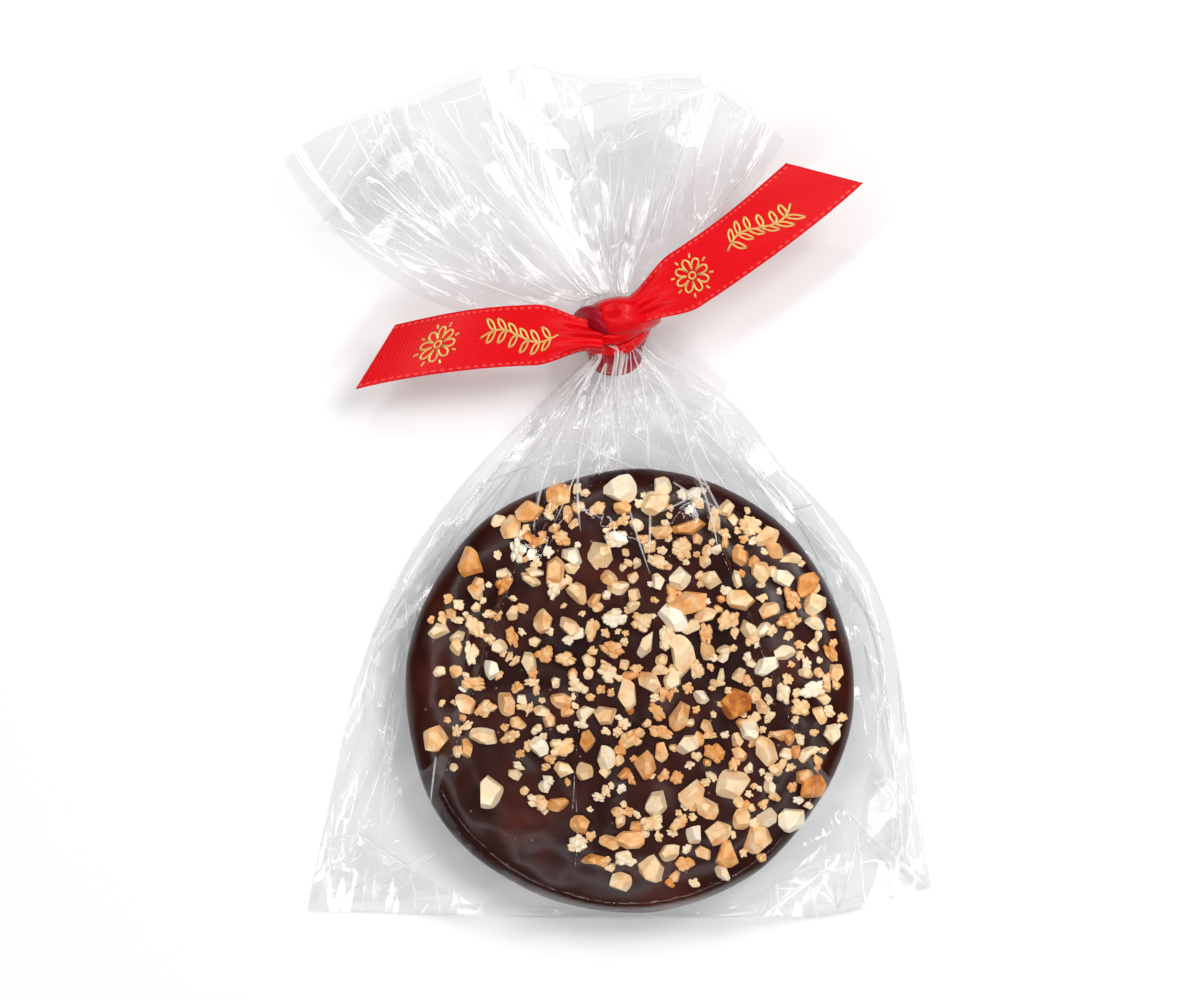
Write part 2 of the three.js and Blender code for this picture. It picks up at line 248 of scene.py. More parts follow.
def makeSatin(name, dark, light):
    # woven polyester satin: a fine twill line, drawn at 0.4 mm so that it can be seen,
    # in bumps and in a painted sheen of lighter bands, and pale picot stitches along
    # both woven edges; the UV map is in millimetres
    material, tree = newMaterial(name)
    uv = addNode(tree, "UVMap")
    twill = addNode(tree, "TexWave",
                    {"wave_type": "BANDS", "bands_direction": "DIAGONAL", "Scale": 1.12,
                     "Distortion": 2.0, "Detail": 2.0, "Detail Scale": 1.5},
                    {"Vector": uv}).outputs["Fac"]
    crinkle = addNode(tree, "TexNoise", {"Scale": 0.5, "Detail": 4.0}, {"Vector": uv})
    # the twill's lighter bands are a painted sheen on the floats, from the dark colour to the light
    # one
    shade = addNode(tree, "MixRGB", {"Color1": colour(dark), "Color2": colour(light)},
                    {"Fac": twill})
    # a stitch 0.6 mm long every 1.2 mm, at 0.5 mm from both edges
    parts = addNode(tree, "SeparateXYZ", links={"Vector": uv})
    middle = addNode(tree, "Math", {"operation": "SUBTRACT", 1: ribbon["width"] / 2},
                     {0: parts.outputs["Y"]})
    away = addNode(tree, "Math", {"operation": "ABSOLUTE"}, {0: middle})
    nearEdge = addNode(tree, "Math", {"operation": "COMPARE", 1: 4.5, 2: 0.16}, {0: away})
    step = addNode(tree, "Math", {"operation": "WRAP", 1: 1.2, 2: 0.0}, {0: parts.outputs["X"]})
    stitch = addNode(tree, "Math", {"operation": "LESS_THAN", 1: 0.6}, {0: step})
    picot = addNode(tree, "Math", {"operation": "MULTIPLY"}, {0: nearEdge, 1: stitch})
    faint = addNode(tree, "Math", {"operation": "MULTIPLY", 1: 0.5}, {0: picot})
    base = addNode(tree, "MixRGB", {"Color2": colour("#ff6a5e")}, {"Fac": faint, "Color1": shade})
    weft = addNode(tree, "TexWave", {"bands_direction": "X", "Scale": 1.4, "Distortion": 1.0},
                   {"Vector": uv}).outputs["Fac"]
    knots = addNode(tree, "Math", {"operation": "MULTIPLY"}, {0: twill, 1: weft})
    height = addNode(tree, "Math", {"operation": "ADD"}, {0: knots, 1: crinkle})
    bump = addNode(tree, "Bump", {"Strength": 0.6, "Distance": 0.00012}, {"Height": height})
    shader = addNode(tree, "BsdfPrincipled",
                     {"Roughness": 0.25, "IOR": 1.5, "Specular IOR Level": 0.5,
                      "Specular Tint": (1.0, 0.14, 0.2, 1),
                      "Coat Weight": 0.2, "Coat Roughness": 0.3},
                     {"Base Color": base, "Normal": bump})
    addNode(tree, "OutputMaterial", links={"Surface": shader})
    return material


def makeGoldFoil():
    # hot-stamped gold foil: a pale yellow metal that is slightly broken by the weave
    material, tree = newMaterial("goldFoil")
    shader = addNode(tree, "BsdfPrincipled",
                     {"Base Color": colour("#f2c070"), "Metallic": 0.75, "Roughness": 0.38})
    addNode(tree, "OutputMaterial", links={"Surface": shader})
    return material


chocolate = makeChocolate()
nutMeat = makeNut()
film = makeFilm("clearFilm")
# film for the crease tubes: 0.4 of it is flat white, a painted highlight
creaseHighlightFilm = makeFilm("creasePaintedHighlightFilm", 0.4)
satin = makeSatin("redSatin", "#d80006", "#f0010e")  # the ribbon's shiny face
satinPaintedShade = makeSatin("redSatinPaintedShade", "#98001a", "#a80220")  # a darker copy of the same satin: painted shade for the crumpled, less lit knot, its fold C and the turns round the neck
goldFoil = makeGoldFoil()
print("materials made")

cookie = {
    "radius": 37.0,
    "height": 11.0,
    "base": 0.9,  # height of its underside over the surface, on film and air
    "rim": 4.2,  # depth of the upper edge's rounding
    "roll": 7.0,  # how far in from the side that rounding starts
    "foot": 2.6,  # radius of the lower edge
    "crown": 0.4,  # how far the middle stands over the rim
    "flat": 27.0,  # the crown is full inside this radius
    "ripple": 0.75,  # height of the coating's slow ripples
    "around": 220,  # columns of the mesh
}


def rimWave(turn):  # how far the side is out of round
    return 0.35 * math.sin(2 * turn + 0.6) + 0.25 * math.sin(5 * turn + 2)


def coatHeight(x, y):
    # slow ripples that the coating set in, 9 mm and 4 mm long
    place = Vector((x / 9, y / 9, 0.3))
    slow = noise.noise(place) + 0.45 * noise.noise(place * 2.2 + Vector((5, 1, 0)))
    return cookie["ripple"] * slow


def cookieTop(x, y):  # the height that the nuts lie at
    reach = math.hypot(x, y)
    top = cookie["base"] + cookie["height"]
    rim = cookie["radius"] - cookie["roll"]
    past = clamp((reach - rim) / cookie["roll"])
    level = (1 - past) * (cookie["crown"] * ease(rim, cookie["flat"], reach) + coatHeight(x, y))
    return top - cookie["rim"] * (1 - math.sqrt(1 - past * past)) + level


def makeCookie():
    bm = bmesh.new()
    c = cookie
    top = c["base"] + c["height"]
    inner = c["radius"] - c["roll"]
    footSteps, rollSteps, topSteps = 12, 16, 42
    profile = [(0, c["base"])]
    for i in range(footSteps + 1):
        turn = i / footSteps * math.pi / 2
        profile.append((c["radius"] - c["foot"] + c["foot"] * math.sin(turn),
                        c["base"] + c["foot"] * (1 - math.cos(turn))))
    for i in range(rollSteps + 1):
        turn = i / rollSteps * math.pi / 2
        profile.append((inner + c["roll"] * math.cos(turn),
                        top - c["rim"] + c["rim"] * math.sin(turn)))
    for i in range(1, topSteps + 1):
        profile.append((inner * (1 - i / topSteps), top))
    line = [bm.verts.new((x * mm, 0, z * mm)) for x, z in profile]
    edges = [bm.edges.new(pair) for pair in zip(line, line[1:])]
    bmesh.ops.spin(bm, geom=line + edges, cent=(0, 0, 0), axis=(0, 0, 1), dvec=(0, 0, 0),
                   angle=2 * math.pi, steps=c["around"], use_merge=True)
    bmesh.ops.remove_doubles(bm, verts=bm.verts, dist=1e-6)
    for vert in bm.verts:
        x, y, z = vert.co / mm
        reach, turn = math.hypot(x, y), math.atan2(y, x)
        # the side is uneven, with slow waves and dents
        dents = noise.noise(Vector((math.cos(turn) * 2.2, math.sin(turn) * 2.2, z / 9))) * 0.6
        stretch = 1 + (rimWave(turn) + dents) * ease(18, 37, reach) / c["radius"]
        drips = 0.12 * noise.noise(Vector((x / 5, y / 5, z / 3))) * ease(28, 36, reach)
        widen = 1 + drips / 37
        # only the top has the crown and the ripples
        level = ease(top - 3.5, top - 0.3, z)
        lift = (c["crown"] * ease(inner, c["flat"], reach) + coatHeight(x, y)) * level
        vert.co = Vector((x * stretch * widen, y * stretch * widen, z + lift)) * mm
    bmesh.ops.recalc_face_normals(bm, faces=bm.faces)
    piece = newPiece("cookieCoating", bm, chocolate)
    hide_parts("cookie")


makeCookie()
print("cookie made")

nuts = {
    "count": 190,  # as many as the solids have
    "small": 240,  # further small pieces between them
    "field": 36,  # half width of the square in which places are drawn
    "tries": 9000,  # at most, for the larger ones and then the small ones
    "smallTries": 30000,
    "inset": 0.6,  # the pieces end this far inside the cookie's radius
    "slumped": 0.42,  # half height of a piece for its half length and half width together
    "tallest": 1.7,  # half height at most
}

# The largest pieces where they lie: x, y, half length, half width, turn, roast
largeNuts = [
    (-31.8, -7.5, 2.4, 2.0, 20, 0.55), (-23.0, -16.2, 2.9, 2.1, 80, 0.25),
    (-18.0, 32.2, 2.6, 1.7, 30, 0.6), (-11.3, 33.2, 2.2, 1.8, 0, 0.6),
    (-1.3, 33.6, 2.5, 2.4, 0, 0.15), (-26.7, 21.7, 2.7, 1.8, 110, 0.75),
    (4.5, 31.2, 2.3, 1.8, 10, 0.35), (10.0, 27.2, 2.6, 1.3, 10, 0.75),
    (10.3, 15.0, 3.8, 1.9, 15, 0.6), (18.7, 15.2, 2.2, 2.0, 0, 0.5),
    (8.7, 5.8, 3.7, 1.9, 95, 0.35), (17.8, -1.7, 2.4, 2.2, 40, 0.95),
    (17.5, -15.0, 2.9, 2.5, 30, 0.3), (22.4, -9.6, 2.4, 1.7, 120, 0.4),
    (10.3, -16.7, 2.4, 1.8, 70, 0.4), (31.6, -16.2, 2.4, 2.0, 60, 0.9),
    (27.6, -21.4, 2.1, 2.0, 0, 0.1), (21.3, -24.2, 2.4, 2.1, 20, 0.45),
    (16.2, -26.6, 2.1, 2.0, 0, 0.7), (0.3, -24.2, 2.6, 1.4, 10, 0.6),
    (-1.5, -31.3, 1.9, 1.5, 0, 0.4), (30.2, 18.4, 2.2, 1.5, 50, 0.8),
    (23.4, 26.6, 2.3, 1.6, 40, 0.5), (34.4, 3.2, 1.6, 1.4, 90, 0.5),
]

drawState = [7]  # the seed, then the last number drawn


def draw():  # repeatable random numbers, the same ones that place the solids' nuts
    drawState[0] = (drawState[0] * 1664525 + 1013904223) % 4294967296
    return drawState[0] / 4294967296


def nutCover(x, y):  # from 0 on bare chocolate, at the lower left and the rim, to 1
    bare = math.hypot(x + 22, y + 30) / 24
    rim = ease(37, 30, math.hypot(x - 1.5, y - 1.5))
    lower = ease(-34, -22, y + 0.25 * x)
    left = mix(0.45, 1, ease(-32, -12, x + 0.4 * y))
    return clamp(bare - 0.35) * rim * lower * left


def placeNuts():
    placed = [dict(x=x, y=y, long=long, wide=wide, turn=turn, roast=roast)
              for x, y, long, wide, turn, roast in largeNuts]
    field = nuts["field"]
    for tries in range(nuts["tries"]):
        if len(placed) >= nuts["count"]:
            break
        x, y = mix(-field, field, draw()), mix(-field, field, draw())
        size = mix(2.1, 1.15, tries / nuts["tries"]) * mix(0.85, 1.15, draw())
        chance, turn = draw(), 180 * draw()
        slim = mix(0.6, 0.95, draw())
        free = all(math.hypot(n["x"] - x, n["y"] - y) > 0.86 * (n["wide"] + size) for n in placed)
        if free and chance < nutCover(x, y):
            placed.append(dict(x=x, y=y, long=size * 1.1, wide=size * slim, turn=turn, roast=None))
    return placed


def addLump(bm, lump, nut, rng):
    # puts one piece, made about 1 in radius, at its size, place and tilt, with its roast
    tip = (Matrix.Rotation(rng.uniform(-0.4, 0.4), 4, "X")
           @ Matrix.Rotation(rng.uniform(-0.4, 0.4), 4, "Y"))
    spot = (Matrix.Translation(Vector((nut["x"], nut["y"], nut["z"])) * mm)
            @ Matrix.Rotation(math.radians(nut["turn"]), 4, "Z") @ tip
            @ Matrix.Diagonal((nut["long"] * mm, nut["wide"] * mm, nut["high"] * mm, 1)))
    bmesh.ops.transform(lump, matrix=spot, verts=lump.verts)
    mesh = bpy.data.meshes.new("lump")
    lump.to_mesh(mesh)
    lump.free()
    before = len(bm.verts)
    bm.from_mesh(mesh)
    bpy.data.meshes.remove(mesh)
    bm.verts.ensure_lookup_table()
    toast = bm.verts.layers.float["toast"]
    for vert in bm.verts[before:]:
        vert[toast] = nut["roast"] + rng.uniform(-0.06, 0.06)


def chopPiece(bm, nut, rng):
    # a block of nut meat that knife cuts have left with flat faces and sharp corners
    lump = bmesh.new()
    bmesh.ops.create_icosphere(lump, subdivisions=2, radius=1.22)
    shift = Vector((rng.random() * 50, nut["x"], nut["y"]))
    for vert in lump.verts:
        vert.co *= 1 + 0.2 * noise.noise(vert.co * 1.2 + shift)
    cuts = [Vector((0, 0, -1))]
    start = rng.uniform(0, 6.28)
    for i in range(rng.choice((4, 5, 5, 6))):  # round the side, about 72 degrees apart
        turn = start + i * 1.26 + rng.uniform(-0.35, 0.35)
        cuts.append(Vector((math.cos(turn), math.sin(turn), rng.uniform(-0.1, 0.7))))
    for _ in range(rng.choice((1, 2, 2, 3))):  # on top
        cuts.append(Vector((rng.uniform(-0.6, 0.6), rng.uniform(-0.6, 0.6), 1)))
    for side in cuts:
        side.normalize()
        cut = bmesh.ops.bisect_plane(lump, geom=lump.verts[:] + lump.edges[:] + lump.faces[:],
                                     dist=1e-4, plane_co=side * rng.uniform(0.62, 0.95),
                                     plane_no=side, clear_outer=True)
        rim = [item for item in cut["geom_cut"] if isinstance(item, bmesh.types.BMEdge)]
        if rim:
            bmesh.ops.edgeloop_fill(lump, edges=rim)
    addLump(bm, lump, nut, rng)


def crumbPiece(bm, nut, rng):
    # a crumb of nut meal: several small grains that stick together
    lump = bmesh.new()
    bmesh.ops.create_icosphere(lump, subdivisions=1, radius=0.72)
    for i in range(rng.choice((6, 7, 8, 9))):
        turn = i * 2.4 + rng.uniform(-0.4, 0.4)
        away = mix(0.4, 0.68, rng.random())
        spot = Matrix.Translation((away * math.cos(turn), away * math.sin(turn),
                                   rng.uniform(0.1, 0.75) * (1.1 - away)))
        size = rng.uniform(0.3, 0.46)
        roll = Matrix.Rotation(rng.uniform(0, 3), 4, "X")
        shape = Matrix.Diagonal((1, rng.uniform(0.75, 1.1), rng.uniform(0.75, 1.1), 1))
        bmesh.ops.create_icosphere(lump, subdivisions=1, radius=size, matrix=spot @ roll @ shape)
    for vert in lump.verts:
        vert.co *= 1 + 0.14 * noise.noise(vert.co * 3.5 + Vector((nut["x"], nut["y"], 0)))
    addLump(bm, lump, nut, rng)


def makeNuts():
    rng = random.Random(41)
    placed = placeNuts()
    chunks, crumbs = bmesh.new(), bmesh.new()
    chunks.verts.layers.float.new("toast")
    crumbs.verts.layers.float.new("toast")
    for nut in placed:
        reach = cookie["radius"] - nuts["inset"]
        inward = min(1, (reach - nut["long"]) / math.hypot(nut["x"], nut["y"]))
        nut["x"], nut["y"] = nut["x"] * inward, nut["y"] * inward
        nut["high"] = min(nuts["tallest"], nuts["slumped"] * (nut["long"] + nut["wide"]))
        nut["z"] = cookieTop(nut["x"], nut["y"]) + 0.35 * nut["high"]
        if nut["roast"] is not None:
            chopPiece(chunks, nut, rng)
            continue
        nut["roast"] = clamp(rng.gauss(0.4, 0.2), 0.02, 0.95)
        kind = rng.random()
        if kind < 0.42:
            shrink = rng.uniform(0.72, 1.0)
            nut["long"], nut["wide"] = nut["long"] * shrink, nut["wide"] * shrink
            chopPiece(chunks, nut, rng)
        elif kind < 0.66 or nut["wide"] < 1.1:
            crumbPiece(crumbs, nut, rng)
        else:  # a pair of smaller pieces lies in the same place
            turn = rng.uniform(0, 6.28)
            for sign in (-1, 1):
                half = dict(nut, long=nut["long"] * rng.uniform(0.5, 0.68),
                            wide=nut["wide"] * rng.uniform(0.48, 0.62),
                            high=nut["high"] * rng.uniform(0.65, 0.9), turn=rng.uniform(0, 180),
                            roast=clamp(nut["roast"] + rng.uniform(-0.15, 0.15), 0.02, 0.95))
                half["x"] += sign * 0.5 * nut["wide"] * math.cos(turn)
                half["y"] += sign * 0.5 * nut["wide"] * math.sin(turn)
                if rng.random() < 0.5:
                    chopPiece(chunks, half, rng)
                else:
                    crumbPiece(crumbs, half, rng)
    added = 0
    field = nuts["field"]
    for tries in range(nuts["smallTries"]):
        if added >= nuts["small"]:
            break
        x, y = rng.uniform(-field, field), rng.uniform(-field, field)
        size = rng.uniform(0.6, 1.05) * mix(1, 0.75, tries / nuts["smallTries"])
        free = all(math.hypot(n["x"] - x, n["y"] - y) > 0.8 * n["wide"] + 0.75 * size
                   for n in placed)
        if not free or rng.random() > nutCover(x, y) ** 0.8 or math.hypot(x, y) > 35.8:
            continue
        nut = dict(x=x, y=y, long=size * rng.uniform(1, 1.35), wide=size,
                   turn=rng.uniform(0, 180), high=size * 0.85, z=cookieTop(x, y) + 0.3 * size,
                   roast=clamp(rng.gauss(0.4, 0.16), 0.05, 0.9))
        placed.append(nut)
        if rng.random() < 0.3:
            chopPiece(chunks, nut, rng)
        else:
            crumbPiece(crumbs, nut, rng)
        added += 1
    newPiece("nutChunks", chunks, nutMeat, smooth=False)
    newPiece("nutCrumbs", crumbs, nutMeat, smooth=False)
    print("nuts made", len(placed))


makeNuts()

bag = {
    "bottom": -38.2,
    # its two sides, from the middle: half width at the bottom and beside the cookie's middle,
    # how far it bulges above the cookie, and the shoulder below the neck
    "left": {"foot": 54.0, "waist": 46.0, "bulge": 6.5, "shoulder": 0.0},
    "right": {"foot": 51.5, "waist": 46.0, "bulge": 11.0, "shoulder": 5.0},
    "top": 14.6,  # height of the film over the cookie
    "floor": 0.22,  # the front film stays over this height
    "neck": (-2.4, 59.0, 6.6),  # middle of the tied neck
    "neckWide": 4.7,  # half width of the neck
    "neckDeep": 4.2,  # half height of the neck
    "puff": 3.4,  # how far the front film stands up at the ribbon's lower edge
    "mouth": 42.0,  # from the neck to the mouth
    "flap": 17.5,  # how much farther the mouth's left corner reaches
    "ruffRight": 46.5,  # direction of the mouth's right corner, in degrees from +X
    "ruffLeft": 155.0,  # direction of its left corner
    "flapSweep": 40.0,  # how far the left edge curves on its way, in degrees
    "lift": 12.0,  # how far the mouth stands open
    "front": (310, 310),  # columns and rows of the mesh
    "back": (160, 220),
    "pouchShare": 0.56,  # share of the rows up to the neck
    "neckShare": 0.06,  # share of the rows in the neck
}
neckRow = bag["pouchShare"]
ruffRow = neckRow + bag["neckShare"]

# Folds that run from the neck to the mouth: place from right (0) to left (1), height in mm
frontFolds = [(0, 0), (0.045, 1.1), (0.11, -0.8), (0.22, 2.1), (0.29, -2.0), (0.37, 0.4),
              (0.43, -0.5), (0.49, -1.7), (0.6, 1.3), (0.68, -1.3), (0.745, 0.4), (0.825, 2.4),
              (0.9, -1.0), (1, 0)]
backFolds = [(0, 0), (0.08, -0.8), (0.17, 0.9), (0.33, -0.9), (0.45, 0.8), (0.55, -0.7),
             (0.66, 0.9), (0.78, -0.8), (0.9, 0.6), (1, 0)]

# Single creases of the front film: from x, y to x, y, height, width at the foot
ruffCreases = [
    (-38.5, 96.8, -6.0, 64.2, 1.6, 2.2), (-28.5, 79.8, -17.5, 67.5, -0.9, 3.0),
    (-23.3, 93.0, -4.7, 65.0, 1.0, 1.5), (-49.5, 77.2, -31.2, 70.2, -0.8, 2.0),
    (-31.2, 70.2, -8.3, 61.7, -0.8, 1.6), (-39.2, 99.0, -51.8, 79.8, 1.3, 3.0),
    (-8.0, 97.0, 2.0, 99.5, 0.9, 3.0), (2.0, 99.5, 11.0, 99.3, 1.1, 3.0),
    (-9.5, 83.0, -3.0, 92.5, 0.7, 2.5), (-3.0, 92.5, 10.7, 98.5, 0.9, 2.5),
    (12.5, 101.5, 4.7, 73.0, 1.2, 2.0), (17.8, 99.2, 13.3, 79.5, -0.9, 2.0),
    (25.5, 95.0, 18.5, 83.3, 0.8, 2.6), (-38.5, 96.8, -24.0, 101.5, 0.9, 2.0),
    (-44.0, 84.0, -30.0, 74.0, 0.8, 1.8), (12.5, 101.5, 18.0, 96.0, 1.0, 1.6),
    (-36.3, 92.3, -28.5, 79.8, 0.8, 1.6), (8.0, 88.0, 1.0, 70.0, 0.6, 1.4),
]
pouchCreases = [
    (-18.0, 38.3, -36.5, 17.3, -0.7, 1.3), (-36.5, 17.3, -43.7, 7.5, -0.8, 1.5),
    (-37.3, 15.7, -43.0, 5.0, 0.9, 1.6), (-37.3, 15.7, -36.2, 3.0, 0.7, 1.5),
    (-52.2, -25.5, -45.2, -24.2, 0.8, 2.0), (-45.2, -24.2, -40.3, -10.2, 1.0, 2.2),
    (-49.7, -20.7, -40.7, -5.0, 0.8, 2.0), (-51.8, -34.8, -45.2, -24.2, 1.0, 2.2),
    (-46.3, -33.3, -31.8, -26.5, 0.9, 2.4), (-39.5, -34.8, -31.8, -26.5, -0.7, 2.0),
    (-45.2, -24.2, -36.0, -30.0, -0.6, 1.6), (-40.3, -10.2, -44.5, 2.0, 0.8, 1.8),
    (15.8, 32.3, 26.0, 24.0, 0.9, 3.0), (26.0, 24.0, 31.7, 15.3, 0.9, 3.0),
    (27.3, 30.2, 36.0, 20.0, 0.9, 1.8), (27.3, 30.2, 20.0, 40.0, 0.9, 1.8),
    (27.3, 30.2, 33.5, 31.5, -0.7, 1.6), (36.0, 20.0, 43.0, 8.0, 0.8, 2.0),
    (39.7, 7.5, 42.5, -2.0, 1.0, 2.0), (42.5, -2.0, 41.3, -11.0, 1.0, 2.0),
    (45.5, 3.0, 46.5, -8.0, 0.6, 1.4), (35.5, -18.8, 40.0, -24.0, 0.9, 2.2),
    (40.0, -24.0, 50.2, -33.3, 1.1, 2.2), (35.0, -37.0, 37.8, -25.5, 0.9, 1.6),
    (35.0, -37.0, 34.2, -31.7, 0.7, 1.5), (37.8, -25.5, 44.0, -30.0, -0.7, 1.8),
    (41.3, -11.0, 46.0, -20.0, 0.8, 1.8), (46.0, -20.0, 44.0, -30.0, 0.6, 1.6),
    (-12.0, 45.0, -24.0, 30.0, 0.8, 1.2), (3.0, 52.0, 9.0, 38.0, 0.9, 1.6),
    (6.0, 50.0, 18.0, 38.0, 0.9, 1.4), (9.0, 38.0, 12.0, 46.0, -0.8, 1.4),
    (18.0, 38.0, 14.0, 50.0, 0.8, 1.4),
]


def creaseRelief(x, y, creases):
    # each crease is a roof: a sharp ridge or valley that fades out at both ends
    total = 0.0
    for x1, y1, x2, y2, high, wide in creases:
        if not (min(x1, x2) - wide < x < max(x1, x2) + wide
                and min(y1, y2) - wide < y < max(y1, y2) + wide):
            continue
        runX, runY = x2 - x1, y2 - y1
        share = clamp(((x - x1) * runX + (y - y1) * runY) / (runX * runX + runY * runY))
        away = math.hypot(x - x1 - share * runX, y - y1 - share * runY)
        if away < wide:
            fade = min(1.0, 5 * share + 0.25, 5 * (1 - share) + 0.25)
            edge = math.copysign(0.22, high) * max(0, 1 - away / 0.55)
            total += (high * (1 - away / wide) + edge) * fade
    return total


def sideX(y, side):  # half width of the pouch on one side
    lower = mix(side["waist"], side["foot"], y / bag["bottom"])
    t = clamp(y / (bag["neck"][1] - 4))
    upper = mix(side["waist"], bag["neckWide"], t) + side["bulge"] * math.sin(math.pi * t)
    upper += side["shoulder"] * ease(36, 49, y) * ease(58.5, 53, y)
    return lower if y < 0 else upper


def coreDistance(x, y):
    # how far a place lies outside what holds the film up, the cookie and a cone to the neck
    neckX, neckY, _ = bag["neck"]
    wide = cookie["radius"] - 2
    slope = (wide - bag["neckWide"]) / neckY
    t = clamp(y / neckY)
    along = clamp((y + slope * abs(x - neckX * t)) / neckY)
    radius = mix(wide, bag["neckWide"], along)
    return max(0.0, math.hypot(x - neckX * along, y - neckY * along) - radius)


def bunch(s, back):  # how far a pleat stands out at the neck
    return 0.92 + 0.13 * facet(8 * s + 3, 0.5, 5 if back else 4)


def pouchPoint(s, t, back):
    # s runs across from the left side fold to the right one, t from the bottom to the neck
    b = bag
    neckX, neckY, neckZ = b["neck"]
    u = 2 * s - 1
    low = b["bottom"] + 4.8 * ease(0.6, 1.05, u) + 0.9 * ease(-0.3, -1, u)
    top = neckY - (5 if back else 1.6)  # the front film puffs up over the ribbon's lower edge
    y = mix(low, top, t)
    left = sideX(y, b["left"]) - neckX * clamp(y / neckY)
    right = sideX(y, b["right"]) + neckX * clamp(y / neckY)
    x = u * (left if u < 0 else right)
    bundle = math.sqrt(max(0, 1 - u * u))
    edgeFade = min(1.0, 12 * (1 - abs(u)))
    # lengthwise pleats, steeper towards the neck and the side folds
    warp = 0.35 * noise.noise(Vector((5 * s, 0.06 * y, 3)))
    spacing = (left + right) / 15
    slope = mix(0.04, 0.12, ease(16, 46, y)) + 0.14 * ease(0.45, 0.85, abs(u)) * ease(-24, 6, y)
    pleats = facet(15 * s + warp, 2.2 * t, 1) + 0.12 * facet(31 * s + warp, 5 * t, 2)
    pleats = pleats * slope * spacing
    toNeck = ease(45, neckY - 3, y)
    if back:
        foot = 0.12 + 0.1 * abs(u) ** 8
        z = mix(foot, neckZ - b["neckDeep"] * bundle * bunch(s, True), ease(36, neckY - 5, y))
        wrinkle = abs(facet(x / 14, y / 22, 8)) + 0.4 * abs(facet(x / 6, y / 9, 9))
        outside = clamp((math.hypot(x, y) - cookie["radius"] - 1) / 6)
        z += edgeFade * (0.7 * outside * wrinkle * clamp(t * 12)
                         + 0.5 * abs(pleats) * (1 - toNeck))
        return x, y, z
    # the film rises from its edges to the cookie, and from there along a ridge to the neck
    inset = max(0.0, min(x + left if u < 0 else right - x, (y - low) * 3))
    core = coreDistance(x, y)
    rise = (inset / (inset + core + 1e-6)) ** 0.85
    wall = (cookie["height"] - 2.5) * ease(34, 12, abs(x)) * ease(0.04, 0, t) * clamp(t * 150)
    ridge = mix(b["top"], neckZ + b["neckDeep"] + 2.0,
                ease(30, neckY - 5, y + 3 * facet(x / 8, 0.7, 41)))
    z = b["floor"] + wall + (ridge - b["floor"] - wall) * (rise if t > 0 else 0)
    # where nothing holds it, it crumples
    loose = clamp(core / 5) * clamp(inset / 7)
    bend = noise.noise(Vector((x / 17, y / 17, 2))) * 3
    crumple = (1.7 * facet((x + bend) / 12, (y + 0.4 * x) / 17, 6)
               + 0.8 * facet((x - y) / 7, (y + bend) / 8, 7))
    z += loose * crumple + clamp(inset / 3) * creaseRelief(x, y, pouchCreases)
    z += pleats * clamp(inset / 5)
    # close to the tie the pleats stand up over the ribbon's edge
    z = mix(z, neckZ + (b["neckDeep"] + b["puff"]) * bundle * bunch(s, False), toNeck)
    # flat shards with sharp edges run from the tie, and end at uneven heights
    aim = math.atan2(x - neckX, neckY + 3 - y)
    away = math.hypot(x - neckX, neckY + 3 - y)
    shards = (facet(4.6 * aim + 0.02 * away, away / 13, 21)
              + 0.35 * facet(10 * aim - 0.05 * away, away / 7, 22))
    start = ease(20, 34, y + 5 * facet(x / 9, 0.3, 40))
    z += 0.1 * min(away, 26) * shards * start * ease(59, 55, y) * clamp(inset / 2)
    return x, y, max(z, b["floor"])


def neckPoint(s, t, back):
    # from the puffed end of the pouch back in under the ribbon and up to the ruff
    neckX, neckY, neckZ = bag["neck"]
    turn = math.pi * (1 - s)
    ring = bunch(s, back)
    puff = 0 if back else ease(0.4, 0, t)
    if back:
        y = neckY + mix(-5, 7, t)
    elif t < 0.4:
        y = neckY + mix(-1.6, -4.0, ease(0, 0.4, t))
    else:
        y = neckY + mix(-4.0, 7, (t - 0.4) / 0.6)
    wide = bag["neckWide"] * mix(0.93, 1.05, puff) * ring
    deep = bag["neckDeep"] * ring + bag["puff"] * ring * puff
    x = neckX + wide * math.cos(turn)
    return x, y, neckZ + (-1 if back else 1) * deep * math.sin(turn)


